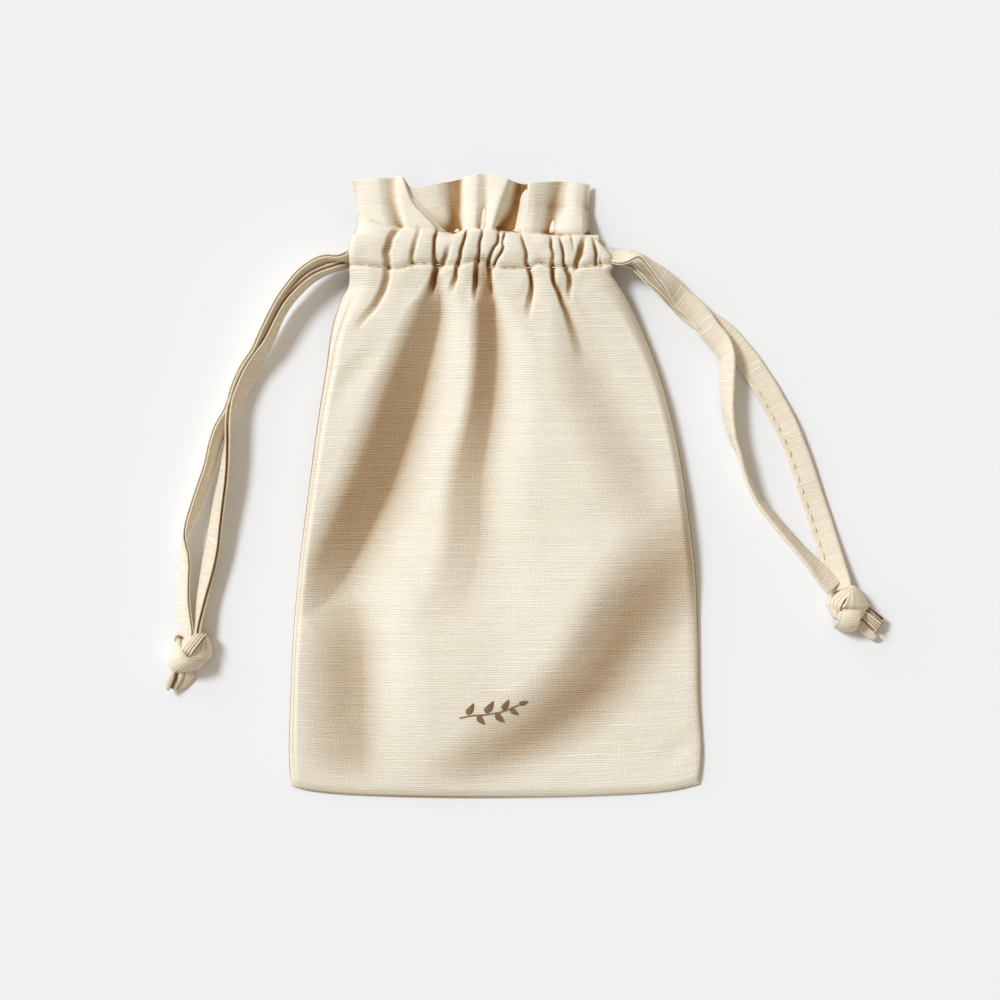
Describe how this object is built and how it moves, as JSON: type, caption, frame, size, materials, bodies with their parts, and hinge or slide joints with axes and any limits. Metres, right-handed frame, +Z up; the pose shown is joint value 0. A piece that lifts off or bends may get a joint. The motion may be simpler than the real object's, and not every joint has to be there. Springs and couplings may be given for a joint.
{
  "type": "cloth drawstring pouch",
  "caption": "Flat cloth pouch with a ruffled mouth gathered by two knotted flat drawstrings in a stitched casing.",
  "frame": {"origin": "middle of the pouch's length and width, on the surface that its back panel lies on", "axes": "+Y towards the mouth, +Z up through the front panel, +X to the right seen from above the front"},
  "size_m": [0.2123, 0.1812, 0.0134],
  "materials": {
    "cloth": "unbleached slub cotton, matt",
    "tape": "flat cotton tape, matt",
    "thread": "cotton sewing thread"
  },
  "bodies": {
    "pouch": {"front_panel": "cloth", "back_panel": "cloth", "left_seam_allowance": "cloth", "right_seam_allowance": "cloth", "bottom_seam_allowance": "cloth", "front_upper_casing_thread": "thread", "front_lower_casing_thread": "thread", "back_upper_casing_thread": "thread", "back_lower_casing_thread": "thread", "left_seam_thread": "thread", "right_seam_thread": "thread", "bottom_seam_thread": "thread", "left_drawstring_far_bend": "tape", "right_drawstring_far_bend": "tape"},
    "left_drawstring": {"left_front_casing_tape": "tape", "left_back_casing_tape": "tape", "left_front_strand": "tape", "left_back_strand": "tape", "left_knot": "tape", "left_tail_1": "tape", "left_tail_2": "tape"},
    "right_drawstring": {"right_front_casing_tape": "tape", "right_back_casing_tape": "tape", "right_front_strand": "tape", "right_back_strand": "tape", "right_knot": "tape", "right_tail_1": "tape", "right_tail_2": "tape"}
  },
  "joints": [
    {"name": "left_drawstring_pull", "type": "slide", "parent": "pouch", "child": "left_drawstring", "axis": [-1, 0, 0], "range_m": [0, 0.045]},
    {"name": "right_drawstring_pull", "type": "slide", "parent": "pouch", "child": "right_drawstring", "axis": [1, 0, 0], "range_m": [0, 0.045]}
  ]
}
